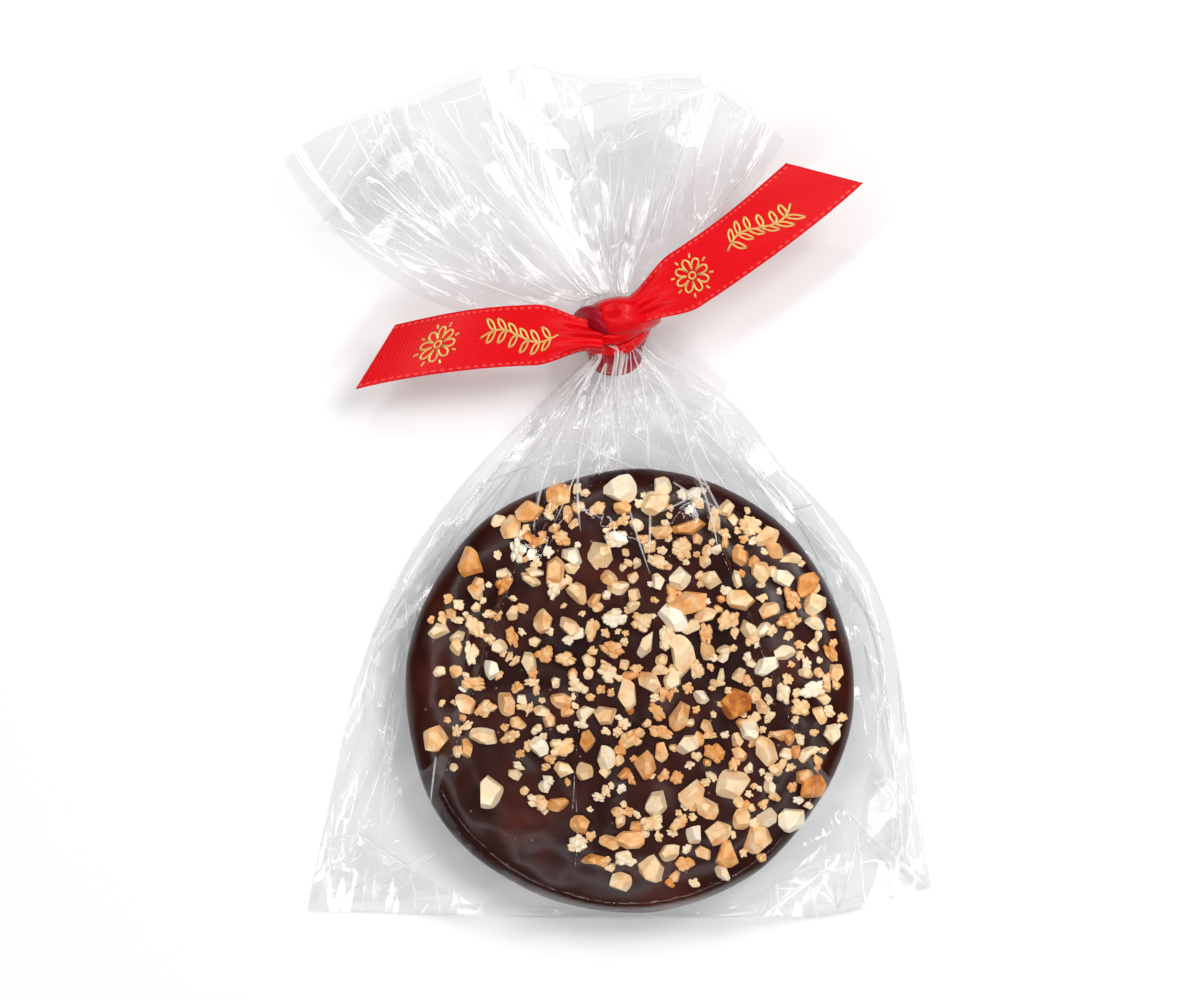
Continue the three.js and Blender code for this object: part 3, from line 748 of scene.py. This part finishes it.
def ruffPoint(s, t, back):
    # t runs from the ribbon's upper edge to the mouth
    b = bag
    neckX, neckY, neckZ = b["neck"]
    side = 1 - s
    u = 2 * s - 1
    # the film fans out from the neck, and its left corner is a long flap
    turn = (mix(b["ruffRight"], b["ruffLeft"], side) + b["flapSweep"] * (1 - t) * side ** 2
            - 14 * (1 - t) * (1 - side) ** 2)
    wave = 1.5 * math.sin(5 * math.pi * (side - 0.1))
    short = 0 if back else 0.055 * ease(0, 0.15, side) * ease(1, 0.8, side)
    reach = (b["mouth"] + b["flap"] * clamp((side - 0.52) / 0.48) + wave) * t * (1 - short)
    fanX = neckX + 0.4 + reach * math.cos(math.radians(turn))
    fanY = neckY + 3 + reach * math.sin(math.radians(turn))
    spread = ease(0.02, 0.22, t)
    x = mix(neckX + b["neckWide"] * 0.93 * math.sin(u * math.pi / 2), fanX, spread)
    y = mix(neckY + 7, fanY, spread)
    # the two films part towards the mouth
    bundle = math.sqrt(max(0, 1 - u * u))
    edgeFade = min(1.0, 14 * (1 - abs(u)))
    opened = bundle * mix(b["neckDeep"] * 0.95, b["lift"] / 2 - 0.8, ease(0, 0.9, t))
    middle = mix(neckZ, 1.6 + b["lift"] / 2, ease(0.1, 1, t))
    # fine pleats at the tie, long flat facets and single folds farther up
    spacing = max(0.35, reach * 1.9 / 18)
    warp = 0.3 * noise.noise(Vector((6 * s, 2 * t, 8)))
    pleats = (facet(18 * side + warp, 2.2 * t, 11 + back)
              + 0.25 * facet(41 * side, 5 * t, 13 + back))
    pleats *= spacing * mix(0.12, 0.0, ease(0.03, 0.3, t))
    facets = (1.9 * facet(4.6 * side + 0.9 * t, 1.4 * t, 15 + back) * ease(0.1, 0.6, t)
              + 0.3 * facet(7 * side - 1.8 * t, 1.8 * t, 17 + back) * ease(0.06, 0.3, t))
    grow = ease(0.05, 0.9, t)
    if back:
        folds = grow * foldLine(side, backFolds) + 0.6 * pleats + 0.6 * facets
        z = middle - opened + edgeFade * folds
    else:
        folds = (grow * foldLine(side + 0.012 * warp, frontFolds) + pleats + facets
                 + creaseRelief(x, y, ruffCreases))
        z = middle + opened + edgeFade * folds
    return x, y, max(z, 0.25)


def bagPoint(s, v, back):
    if v < neckRow:
        return pouchPoint(s, v / neckRow, back)
    if v < ruffRow:
        return neckPoint(s, (v - neckRow) / (ruffRow - neckRow), back)
    return ruffPoint(s, (v - ruffRow) / (1 - ruffRow), back)


# Film folded double inside the bag: four corners, x, y, z
innerFolds = [
    ((-6.5, 92.5, 8.2), (9.0, 97.0, 8.2), (8.0, 76.0, 7.6), (-3.5, 72.5, 7.4)),
    ((-7.5, 88.0, 6.4), (11.0, 93.5, 6.6), (5.5, 74.5, 7.0), (-5.0, 73.5, 7.0)),
    ((-49.0, 80.0, 5.6), (-37.0, 94.0, 6.4), (-20.0, 84.0, 7.2), (-14.0, 68.5, 7.0)),
    ((-52.5, 76.8, 5.4), (-40.0, 90.0, 6.0), (-24.0, 76.0, 6.6), (-19.5, 69.0, 6.6)),
    ((-10.3, 91.7, 7.5), (12.0, 99.0, 7.5), (10.3, 73.3, 7.5), (-4.7, 70.0, 7.0)),
    ((-39.0, 97.5, 7.0), (-50.5, 79.5, 6.6), (-46.5, 78.2, 7.0), (-28.5, 79.8, 7.6)),
    ((-24.0, 97.0, 7.6), (-10.3, 91.7, 7.6), (-7.0, 72.0, 7.2), (-9.0, 70.5, 7.0)),
    ((-29.5, 31.0, 3.0), (-23.0, 36.0, 4.6), (-38.6, 4.0, 2.6), (-45.0, 1.0, 1.2)),
    ((15.0, 49.0, 6.0), (30.5, 31.5, 3.4), (34.0, 22.0, 3.2), (20.0, 38.0, 5.6)),
    ((-51.0, -30.0, 0.7), (-44.0, -24.0, 1.3), (-30.0, -34.5, 1.0), (-46.0, -36.0, 0.6)),
    ((40.5, -10.0, 1.6), (48.0, -20.0, 0.8), (46.0, -31.0, 0.8), (38.5, -26.0, 1.6)),
    ((1.4, 60.4, 10.8), (5.0, 58.0, 9.6), (2.9, 54.6, 9.2), (0.2, 56.8, 12.2)),
]


def makeInnerFolds():
    bm = bmesh.new()
    for i, corners in enumerate(innerFolds):
        a, b, c, d = (Vector(corner) for corner in corners)

        def place(u, v):
            spot = a.lerp(b, u).lerp(d.lerp(c, u), v)
            spot.z += 0.35 * facet(spot.x / 8, spot.y / 9, 30 + i)
            return spot

        shapedGrid(20, 20, place, bm)
    newPiece("bagInnerFolds", bm, film)


# The tight bends along creases: radii in mm, and how many fine ones there are of each kind
creaseBend = {
    "radius": 0.2,
    "fromTie": 26,  # from the tie down the pouch
    "across": 22,  # short cross folds below the tie
    "alongSide": 9,  # along each side of the pouch
    "toMouth": 16,  # from the tie up to the mouth
    "sideFold": 0.2,
    "seal": 0.13,  # the sealed bottom edge, drawn as two lines
    "mouth": 0.16,
}


def addCreaseTube(bm, points, radius):
    # the tight bend along a crease: a half tube that thins out to both ends
    last = len(points) - 1

    def place(u, v):
        i = min(int(u * last), last - 1)
        run = points[i + 1] - points[i]
        across = Vector((-run.y, run.x, 0)).normalized()
        thick = radius * min(1, 7 * u + 0.15, 7 * (1 - u) + 0.15)
        turn = math.pi * v
        spot = points[i].lerp(points[i + 1], u * last - i)
        return spot + across * thick * math.cos(turn) + Vector((0, 0, thick * math.sin(turn)))

    shapedGrid(max(6, last), 6, place, bm)


def filmBelow(surface, x, y):  # where a line down from 40 mm over x, y meets the front film
    return surface.ray_cast(Vector((x, y, 40)) * mm, Vector((0, 0, -1)))[0]


def makeCreaseBends(surface):
    rng = random.Random(5)
    bm = bmesh.new()
    radius = creaseBend["radius"]

    def lineOnFilm(s1, v1, s2, v2, back=False, steps=30):
        points = [Vector(bagPoint(mix(s1, s2, i / steps), mix(v1, v2, i / steps), back))
                  for i in range(steps + 1)]
        return [point for point, after in zip(points, points[1:] + [None]) if point != after]

    for x1, y1, x2, y2, *_ in ruffCreases + pouchCreases:
        steps = max(4, int(math.hypot(x2 - x1, y2 - y1) / 1.2))
        hits = [filmBelow(surface, mix(x1, x2, i / steps), mix(y1, y2, i / steps))
                for i in range(steps + 1)]
        points = [hit / mm for hit in hits if hit]
        if len(points) > 3:
            addCreaseTube(bm, points, radius * rng.uniform(0.8, 1.3))
    for _ in range(creaseBend["fromTie"]):
        s = rng.uniform(0.08, 0.92)
        end = neckRow * (1 - rng.uniform(0.08, 0.4))
        foot = clamp(s + rng.uniform(-0.16, 0.16), 0.04, 0.96)
        addCreaseTube(bm, lineOnFilm(s, neckRow, foot, end), radius * rng.uniform(0.5, 1.1))
    for _ in range(creaseBend["across"]):
        s = rng.uniform(0.1, 0.9)
        start = neckRow * rng.uniform(0.78, 0.97)
        foot = clamp(s + rng.uniform(-0.3, 0.3), 0.04, 0.96)
        end = start - neckRow * rng.uniform(0.03, 0.1)
        addCreaseTube(bm, lineOnFilm(s, start, foot, end), radius * rng.uniform(0.5, 0.9))
    for side in (0, 1):
        for _ in range(creaseBend["alongSide"]):
            s = abs(side - rng.uniform(0.012, 0.17))
            start = neckRow * rng.uniform(0.15, 0.9)
            foot = s + rng.uniform(-0.02, 0.02)
            end = start * rng.uniform(0.35, 0.75)
            addCreaseTube(bm, lineOnFilm(s, start, foot, end), radius * rng.uniform(0.5, 0.9))
    for _ in range(creaseBend["toMouth"]):
        s = rng.uniform(0.05, 0.95)
        end = mix(ruffRow, 1, rng.choice((0.3, 0.6, 0.98)) * rng.uniform(0.85, 1))
        head = clamp(s + rng.uniform(-0.12, 0.12), 0.03, 0.97)
        line = lineOnFilm(s, ruffRow + 0.012, head, end, rng.random() < 0.3)
        addCreaseTube(bm, line, radius * rng.uniform(0.5, 1.0))
    # the crease tubes carry the film with the painted highlight
    newPiece("bagCreaseBends", bm, creaseHighlightFilm)
    bm = bmesh.new()
    for s in (0, 1):
        addCreaseTube(bm, lineOnFilm(s, 0.0, s, 1.0, steps=220), creaseBend["sideFold"])
    for v in (0.0, 0.014):
        addCreaseTube(bm, lineOnFilm(0.004, v, 0.996, v, steps=120), creaseBend["seal"])
    for back in (False, True):
        addCreaseTube(bm, lineOnFilm(0.0, 1.0, 1.0, 1.0, back, steps=160), creaseBend["mouth"])
    newPiece("bagEdges", bm, film)


# Pleats of film over the ribbon's lower edge: x, y, z at the tie, x, y and width at the foot
neckPleats = [
    (-6.4, 56.2, 10.8, -15.5, 47.5, 3.0), (-5.2, 57.2, 12.6, -11.0, 46.0, 3.0),
    (-4.8, 57.0, 13.2, -6.4, 44.5, 2.6), (-4.2, 57.2, 13.6, -1.8, 43.0, 3.2),
    (-2.6, 57.0, 13.6, 1.2, 45.0, 2.6), (-1.2, 57.6, 13.5, 4.6, 45.5, 3.2),
    (0.3, 58.0, 13.1, 8.2, 46.0, 2.8), (1.6, 59.6, 11.6, 12.0, 47.0, 3.4),
    (2.6, 60.2, 10.0, 16.0, 49.5, 3.6),
]


def makeNeckPleats(surface):
    bm = bmesh.new()
    for i, (x1, y1, z1, x2, y2, wide) in enumerate(neckPleats):
        hit = filmBelow(surface, x2, y2)
        z2 = hit.z / mm - 0.5 if hit else 8.0  # the foot dips into the film
        across = Vector((y1 - y2, x2 - x1, 0)).normalized()

        def place(u, v):
            spot = Vector((x1, y1, z1)).lerp(Vector((x2, y2, z2)), u)
            half = mix(0.35, wide, u) / 2
            lean = 0.25 * math.sin(2.1 * i)  # the ridge is off the middle
            ridge = 1 - abs(2 * v - 1 - lean) / (1 + abs(lean))
            spot += across * half * (2 * v - 1)
            spot.z += 1.1 * half * ridge + 0.9 * math.sin(math.pi * u)
            return spot

        shapedGrid(16, 12, place, bm)
    newPiece("bagNeckPleats", bm, film)


def makeBag():
    for name, back in (("Front", False), ("Back", True)):
        columns, rows = bag[name.lower()]
        bm = shapedGrid(columns, rows, lambda s, v: bagPoint(s, v, back))
        bmesh.ops.remove_doubles(bm, verts=bm.verts, dist=2e-6)
        if back:
            bmesh.ops.reverse_faces(bm, faces=bm.faces)  # its outside is below
        else:
            surface = BVHTree.FromBMesh(bm)
        piece = newPiece("bag" + name, bm, film)
        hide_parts("bag")
    makeInnerFolds()
    makeNeckPleats(surface)
    makeCreaseBends(surface)


makeBag()
print("bag made")


def tailPoint(tail, t, side, lift=0.0):
    # t runs from the knot to the cut end, side from -1 to 1 across the ribbon
    startX, startY, startZ = tail["start"]
    opened = mix(0.5, 1, ease(0.05, 0.3, t))  # bunched to half its width at the knot
    along = tail["length"] * t + tail["slant"] * side * ease(0.4, 1, t)
    across = side * ribbon["width"] / 2 * opened
    turn = math.radians(tail["turn"] + tail["bend"] * (1 - t))
    arch = 1.6 * (1 - opened) * (1 - side * side)
    crimp = ease(0.34, 0.0, t) * 0.42 * math.cos(7.5 * side + 0.8 + 5 * t)
    wavy = 0.14 * math.sin(9 * t + 2 * side + tail["turn"]) * ease(0.1, 0.5, t)
    z = startZ + tail["arc"] * math.sin(math.pi * t) + tail["drop"] * t + arch + crimp + wavy
    return (startX + along * math.cos(turn) - across * math.sin(turn),
            startY + along * math.sin(turn) + across * math.cos(turn), z + lift)


def makeStrip(name, columns, rows, place, length, width, material=satin):
    # a strip of ribbon with its UV map in millimetres, centred on the ribbon's width
    bm = shapedGrid(columns, rows, place)
    uvLayer = bm.loops.layers.uv.verify()
    low, high = ribbon["width"] - width, ribbon["width"] + width
    for face in bm.faces:
        for loop in face.loops:
            u, v = loop[uvLayer].uv
            loop[uvLayer].uv = (u * length, mix(low, high, v) / 2)
    bmesh.ops.remove_doubles(bm, verts=bm.verts, dist=2e-6)
    bmesh.ops.recalc_face_normals(bm, faces=bm.faces)
    bmesh.ops.solidify(bm, geom=bm.faces, thickness=ribbon["thick"] * mm)
    return newPiece(name, bm, material)


def bandPoint(around, v, lean):
    # a turn round the neck: around is the share of the turn, v runs up from its lower edge
    neckX, neckY, neckZ = bag["neck"]
    angle = 2 * math.pi * around
    rib = 1 + 0.035 * math.sin(5 * angle + 9 * v) * math.sin(math.pi * v)
    tuck = mix(0.72, 1, ease(0, 0.5, v))  # drawn in round the neck at its lower edge
    wide = (bag["neckWide"] * 1.05 + 0.6) * rib * tuck
    deep = (bag["neckDeep"] * 1.05 + 0.6) * rib * tuck
    x, z = wide * math.cos(angle), deep * math.sin(angle)
    lowEdge = -2.9 - 3.9 * max(0, math.sin(angle)) ** 0.8  # rounded: it hangs lowest in front
    y = mix(lowEdge, 3.0, v)
    tip = math.radians(lean)
    return (neckX + x * math.cos(tip) - y * math.sin(tip),
            neckY + x * math.sin(tip) + y * math.cos(tip), neckZ + z)


# Folds of the knot from the lowest to the top one: path, width, height of the middle, cloth
knotFolds = [
    ([(-7.4, 58.0, 8.6), (-5.2, 57.2, 11.4), (-1.4, 57.2, 12.8), (1.6, 59.2, 12.2),
      (3.2, 62.2, 9.6)], 3.4, 1.4, satin),
    ([(-8.2, 59.6, 10.6), (-5.6, 59.0, 13.4), (-2.2, 58.8, 14.6), (1.2, 60.2, 14.0),
      (3.6, 62.2, 11.0)], 3.2, 1.4, satin),
    # fold C is in the darker satin copy, painted shade
    ([(-8.6, 61.0, 11.4), (-7.0, 61.9, 14.2), (-5.2, 61.6, 15.6), (-3.4, 60.2, 15.4),
      (-1.6, 58.6, 13.6)], 3.8, 1.2, satinPaintedShade),
    ([(-6.3, 61.2, 12.6), (-4.2, 61.6, 15.6), (-1.4, 61.9, 16.6), (1.6, 62.2, 15.6),
      (4.8, 63.3, 12.8)], 6.6, 2.6, satin),
]


def pathPoint(points, t):
    # a smooth line through the points
    spot = t * (len(points) - 1)
    i = min(int(spot), len(points) - 2)
    f = spot - i
    p = [Vector(points[clamp(k, 0, len(points) - 1)]) for k in (i - 1, i, i + 1, i + 2)]
    return 0.5 * (2 * p[1] + (p[2] - p[0]) * f + (2 * p[0] - 5 * p[1] + 4 * p[2] - p[3]) * f * f
                  + (3 * p[1] - p[0] - 3 * p[2] + p[3]) * f ** 3)


def foldPoint(path, width, crown, t, side):
    # a fold of the knot: t runs along its path, side from -1 to 1 across it
    spot = pathPoint(path, t)
    ahead = pathPoint(path, min(1, t + 0.02)) - pathPoint(path, max(0, t - 0.02))
    across = Vector((-ahead.y, ahead.x, 0)).normalized()
    narrow = mix(0.55, 1, math.sin(math.pi * t) ** 0.6)
    pleat = 0.16 * math.sin(6 * side + 5 * t) * (1 - side * side)
    up = crown * (1 - abs(side) ** 2.6) ** 0.6 - crown + pleat
    spot = spot + across * side * width / 2 * narrow
    # a dent where the knot is pulled in
    dent = 0.8 * math.exp(-((spot.x + 2.8) ** 2 + (spot.y - 62.7) ** 2) / 1.8)
    return spot.x, spot.y, spot.z + up - dent


# Gold ornament, drawn in millimetres along and across the ribbon round its own middle
foil = {
    "width": 0.36,  # of a stamped line
    "lift": 0.04,  # over the satin
    "thick": 0.05,
    "left": [("sprig", 14.0), ("rosette", 27.5)],  # how far from the knot each one lies
    "right": [("rosette", 13.5), ("sprig", 27.0)],
}


def rosetteLines():
    # eight petals, a ring and eight rays; each line is a function of u from 0 to 1
    def petal(u, aim):
        reach = 0.9 + 1.9 * math.sin(math.pi * u)
        swing = 0.36 * math.cos(math.pi * u)
        return reach * math.cos(aim + swing), reach * math.sin(aim + swing)

    def ray(u, aim):
        return (2.9 + 0.7 * u) * math.cos(aim), (2.9 + 0.7 * u) * math.sin(aim)

    step = math.pi / 4
    lines = [lambda u, k=k: petal(u, k * step) for k in range(8)]
    lines.append(lambda u: (0.55 * math.cos(6.3 * u), 0.55 * math.sin(6.3 * u)))
    return lines + [lambda u, k=k: ray(u, (k + 0.5) * step) for k in range(8)]


def sprigLines():
    # a wavy stem, and six pairs of leaves that two bowed lines each draw
    def stem(u):
        return mix(-6.5, 6.5, u), 1.2 * math.sin(2 * math.pi * u)

    def leaf(u, root, sign, bow):
        x, y = stem(root)
        return (x + 1.5 * u + 0.35 * bow * math.sin(math.pi * u),
                y + sign * (2.0 * u - bow * math.sin(math.pi * u) * 0.8))

    return [stem] + [lambda u, k=k, sign=sign, bow=bow: leaf(u, 0.1 + 0.14 * k, sign, bow)
                     for k in range(6) for sign in (-1, 1) for bow in (-0.55, 0.55)]


def makeOrnament(name, tail, motifs):
    bm = bmesh.new()
    for lines, at in motifs:
        for line in lines:
            def place(u, v):
                x, y = line(u)
                x1, y1 = line(max(0, u - 0.01))
                x2, y2 = line(min(1, u + 0.01))
                run = math.hypot(x2 - x1, y2 - y1) or 1
                half = (v - 0.5) * foil["width"]
                along = x - (y2 - y1) / run * half + at
                across = y + (x2 - x1) / run * half
                return tailPoint(tail, along / tail["length"], clamp(across / 5, -0.96, 0.96),
                                 foil["lift"])

            shapedGrid(26, 1, place, bm)
    bmesh.ops.recalc_face_normals(bm, faces=bm.faces)
    bmesh.ops.solidify(bm, geom=bm.faces, thickness=-foil["thick"] * mm)
    newPiece(name, bm, goldFoil)


def makeRibbon():
    width = ribbon["width"]
    motifs = {"rosette": rosetteLines(), "sprig": sprigLines()}
    for name in ("Left", "Right"):
        tail = ribbon[name.lower()]
        piece = makeStrip("ribbonTail" + name, 100, 26, lambda u, v: tailPoint(tail, u, 2 * v - 1),
                          tail["length"], width)
        makeOrnament("ribbonOrnament" + name, tail,
                     [(motifs[kind], at) for kind, at in foil[name.lower()]])
    for name, lean in ribbon["turns"].items():
        # the turns round the neck are in the darker satin copy, painted shade
        makeStrip("ribbonTurn" + name, 96, 16, lambda u, v: bandPoint(u, v, lean),
                  ribbon["turnLength"], width, satinPaintedShade)
    for letter, (path, wide, crown, cloth) in zip("ABCD", knotFolds):
        makeStrip("ribbonFold" + letter, 48, 20,
                  lambda u, v: foldPoint(path, wide, crown, u, 2 * v - 1),
                  ribbon["foldLength"], wide, cloth)
    bm = bmesh.new()
    bmesh.ops.create_icosphere(bm, subdivisions=4, radius=1)
    for vert in bm.verts:
        dent = 1 + 0.15 * noise.noise(vert.co * 1.7)
        vert.co = Vector([middle + side * half * dent for middle, side, half
                          in zip(ribbon["knot"], vert.co, ribbon["knotHalf"])]) * mm
    # the lump inside the knot is in the darker satin copy, painted shade
    knot = newPiece("ribbonKnot", bm, satinPaintedShade)
    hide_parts("ribbon")


makeRibbon()
print("ribbon made")

studio = {
    "lens": 120.0,
    "sensor": 36.0,
    "centre": (-4.7, 31.7),  # what the middle of the picture shows
    "span": 200.0,  # width of the picture at the height below
    "level": 5.0,
    "world": 0.07,  # strength of the even light from all round
    # softboxes, in metres, degrees and watts, aimed at a spot between the cookie and the knot
    "aim": (0, 0.03, 0),
    "distance": 0.95,
    "key": dict(azimuth=42, elevation=57, size=(0.34, 0.28), watts=4.0),
    "ring": dict(count=7, step=45, low=52, high=62, size=(0.6, 0.06), watts=1.15),
    "bounces": 3,  # enough for white paper and thin film
    "layers": 24,  # of film that a ray can pass
}


def addSoftbox(name, azimuth, elevation, size, watts):
    data = bpy.data.lights.new(name, "AREA")
    data.shape = "RECTANGLE"
    data.size, data.size_y = size
    data.energy = watts
    light = bpy.data.objects.new(name, data)
    bpy.context.scene.collection.objects.link(light)
    a, e = math.radians(azimuth), math.radians(elevation)
    aim = Vector(studio["aim"])
    spot = aim + studio["distance"] * Vector((math.cos(a) * math.cos(e),
                                              math.sin(a) * math.cos(e), math.sin(e)))
    light.location = spot
    light.rotation_mode = "QUATERNION"
    light.rotation_quaternion = (spot - aim).to_track_quat("Z", "Y")


def makeStudio():
    scene = bpy.context.scene
    world = bpy.data.worlds.new("paleStudio")
    world.use_nodes = True
    background = world.node_tree.nodes["Background"]
    background.inputs["Color"].default_value = (1, 1, 1, 1)
    background.inputs["Strength"].default_value = studio["world"]
    scene.world = world
    scene.view_settings.view_transform = "Standard"
    scene.cycles.transparent_max_bounces = studio["layers"]
    scene.cycles.diffuse_bounces = studio["bounces"]
    scene.cycles.glossy_bounces = studio["bounces"]
    bm = bmesh.new()
    bmesh.ops.create_grid(bm, x_segments=2, y_segments=2, size=3)
    bmesh.ops.translate(bm, verts=bm.verts, vec=(0, 0, -0.00005))
    mesh = bpy.data.meshes.new("tableTop")
    bm.to_mesh(mesh)
    bm.free()
    floor = bpy.data.objects.new("tableTop", mesh)
    scene.collection.objects.link(floor)
    # matt white paper, the plain ground that the pack lies on
    paper, tree = newMaterial("whitePaper")
    shader = addNode(tree, "BsdfPrincipled",
                     {"Base Color": colour("#f6f6f6"), "Roughness": 0.9, "Specular IOR Level": 0.1})
    addNode(tree, "OutputMaterial", links={"Surface": shader})
    mesh.materials.append(paper)
    key, ring = studio["key"], studio["ring"]
    addSoftbox("keyBox", **key)
    for i in range(ring["count"]):  # narrow boxes, which the film mirrors as thin lines
        addSoftbox("ringBox" + str(i), key["azimuth"] + ring["step"] * (i + 1),
                   ring["high"] if i % 2 else ring["low"], ring["size"], ring["watts"])
    camera = bpy.data.cameras.new("camera")
    camera.lens = studio["lens"]
    camera.sensor_width = studio["sensor"]
    height = studio["level"] + studio["span"] * studio["lens"] / studio["sensor"]
    cameraObject = bpy.data.objects.new("camera", camera)
    scene.collection.objects.link(cameraObject)
    cameraObject.location = Vector((*studio["centre"], height)) * mm
    camera.clip_start, camera.clip_end = 0.05, 10
    scene.camera = cameraObject


makeStudio()
print("studio made")
